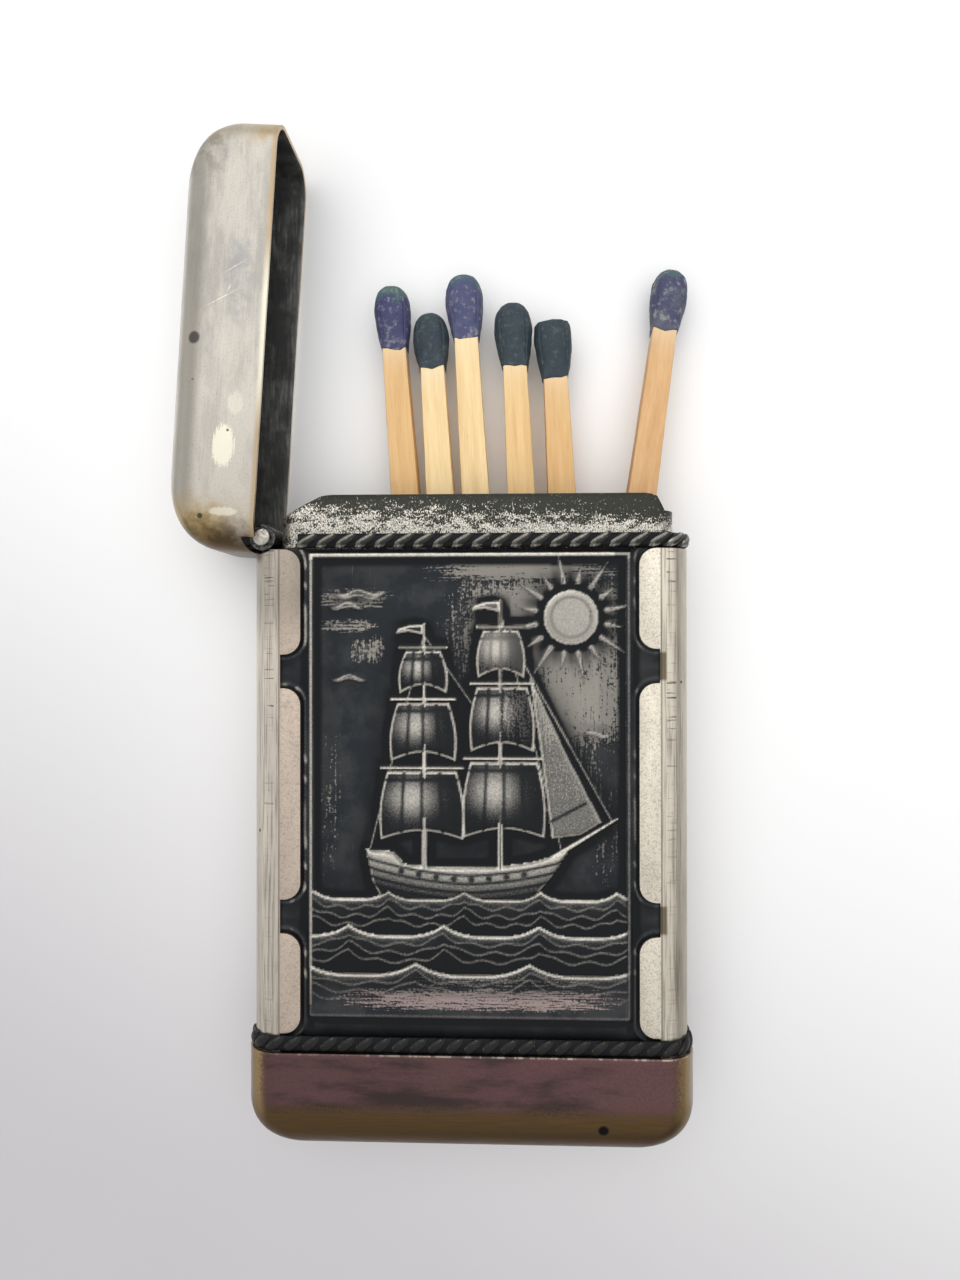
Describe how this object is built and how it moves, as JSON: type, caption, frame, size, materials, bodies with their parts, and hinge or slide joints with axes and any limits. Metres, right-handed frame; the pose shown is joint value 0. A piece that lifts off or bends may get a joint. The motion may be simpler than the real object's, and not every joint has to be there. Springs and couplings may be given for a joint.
{
  "type": "match safe",
  "caption": "Flat pocket match safe: rounded base cap, framed relief panels between lobed side bands, rope mouldings, and a pin-hinged lid that swings shut over the matches.",
  "frame": {"origin": "centre of the base cap's flat end, at mid thickness", "axes": "+X to the right across the front, +Y from the base along the case towards the lid, +Z out of the front face; the lid is open to -X"},
  "size_m": [0.0449, 0.0864, 0.0112],
  "materials": {
    "nickel_band": "worn cream nickel plate over brass",
    "lid_metal": "brushed warm nickel plate, brassy at rim and corners",
    "cap_metal": "nickel plate with mauve tarnish, rubbed to brass at the edges",
    "blackened": "blackened silver plate, rubbed bright on the high places",
    "steel": "spring steel",
    "wood": "bare split pine",
    "purple_head": "dull purple match compound, speckled",
    "teal_head": "dull dark teal match compound"
  },
  "bodies": {
    "case": {"base_cap": "cap_metal", "left_side_band": "nickel_band", "right_side_band": "nickel_band", "front_panel": "blackened", "back_panel": "blackened", "bottom_rope": "blackened", "top_rope": "blackened", "neck_collar": "blackened", "case_hinge_leaf": "blackened", "hinge_pin": "nickel_band", "lid_spring": "steel", "spring_rivet": "steel"},
    "lid": {"lid_shell": "lid_metal", "lid_hinge_leaf": "blackened"},
    "match_1": {"match_1_stick": "wood", "match_1_head": "purple_head"},
    "match_2": {"match_2_stick": "wood", "match_2_head": "teal_head"},
    "match_3": {"match_3_stick": "wood", "match_3_head": "purple_head"},
    "match_4": {"match_4_stick": "wood", "match_4_head": "teal_head"},
    "match_5": {"match_5_stick": "wood", "match_5_head": "teal_head"},
    "match_6": {"match_6_stick": "wood", "match_6_head": "purple_head"}
  },
  "joints": [
    {"name": "lid_hinge", "type": "hinge", "parent": "case", "child": "lid", "pos_m": [-0.0174, 0.05105, 0], "axis": [0, 0, 1], "range_deg": [-86.5, 3.5]},
    {"name": "match_1_slide", "type": "slide", "parent": "case", "child": "match_1", "axis": [-0.0732, 0.9973, 0], "range_m": [-0.0195, 0.0008]},
    {"name": "match_2_slide", "type": "slide", "parent": "case", "child": "match_2", "axis": [-0.0628, 0.998, 0], "range_m": [-0.0195, 0.0008]},
    {"name": "match_3_slide", "type": "slide", "parent": "case", "child": "match_3", "axis": [-0.0593, 0.9982, 0], "range_m": [-0.0195, 0.0008]},
    {"name": "match_4_slide", "type": "slide", "parent": "case", "child": "match_4", "axis": [-0.0471, 0.9989, 0], "range_m": [-0.0195, 0.0008]},
    {"name": "match_5_slide", "type": "slide", "parent": "case", "child": "match_5", "axis": [-0.0523, 0.9986, 0], "range_m": [-0.0195, 0.0008]},
    {"name": "match_6_slide", "type": "slide", "parent": "case", "child": "match_6", "axis": [0.1472, 0.9853, -0.0872], "range_m": [-0.0195, 0.0008]}
  ],
  "couplings": [
    {"joint": "match_1_slide", "follows": "lid_hinge", "m_per_rad": 0.012645},
    {"joint": "match_2_slide", "follows": "lid_hinge", "m_per_rad": 0.012645},
    {"joint": "match_3_slide", "follows": "lid_hinge", "m_per_rad": 0.012645},
    {"joint": "match_4_slide", "follows": "lid_hinge", "m_per_rad": 0.012645},
    {"joint": "match_5_slide", "follows": "lid_hinge", "m_per_rad": 0.012645},
    {"joint": "match_6_slide", "follows": "lid_hinge", "m_per_rad": 0.012645}
  ]
}
